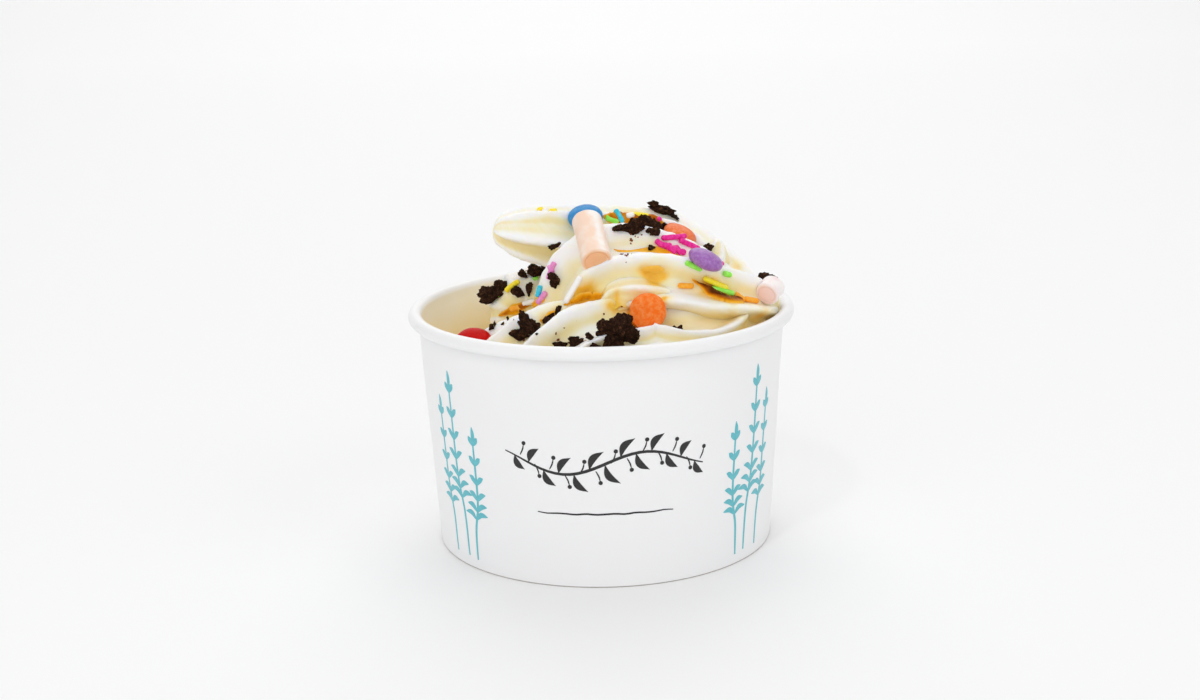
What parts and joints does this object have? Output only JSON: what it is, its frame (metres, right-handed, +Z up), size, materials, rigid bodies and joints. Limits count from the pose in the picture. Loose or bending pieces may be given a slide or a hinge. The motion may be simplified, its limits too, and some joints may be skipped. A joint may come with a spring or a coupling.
{
  "type": "frozen yogurt cup",
  "caption": "Round paper cup filled with piped soft-serve frozen yogurt, topped with sugar-shelled candy, mini marshmallows and pieces of chocolate cookie.",
  "frame": {"origin": "centre of the cup's base ring, on the surface that it stands on", "axes": "+Z up along the cup's axis; -Y towards the front of the swirl, the side seen in the picture; +X to the right seen from the front"},
  "size_m": [0.096, 0.096, 0.0851],
  "materials": {
    "cup_wall": "coated white paperboard, printed",
    "cup_bottom": "coated white paperboard",
    "yogurt": "frozen yogurt, creamy and softly glossy",
    "candy_orange_front": "hard sugar shell, orange",
    "candy_orange_top": "hard sugar shell, orange",
    "candy_blue": "hard sugar shell, blue",
    "candy_purple": "hard sugar shell, purple",
    "candy_red": "hard sugar shell, red",
    "marshmallow_peach": "soft marshmallow, dusted, peach",
    "marshmallow_pink": "soft marshmallow, dusted, pink and white",
    "cookie": "dark chocolate cookie, broken and matte"
  },
  "bodies": {
    "root": {"cup_wall": "cup_wall", "cup_bottom": "cup_bottom", "yogurt": "yogurt", "candy_orange_front": "candy_orange_front", "candy_orange_top": "candy_orange_top", "candy_blue": "candy_blue", "candy_purple": "candy_purple", "candy_red": "candy_red", "marshmallow_peach": "marshmallow_peach", "marshmallow_pink": "marshmallow_pink", "chunk_front": "cookie", "chunk_left": "cookie", "chunk_left_front": "cookie", "chunk_top": "cookie", "chunk_top_edge": "cookie", "chunk_neck": "cookie"}
  },
  "joints": []
}
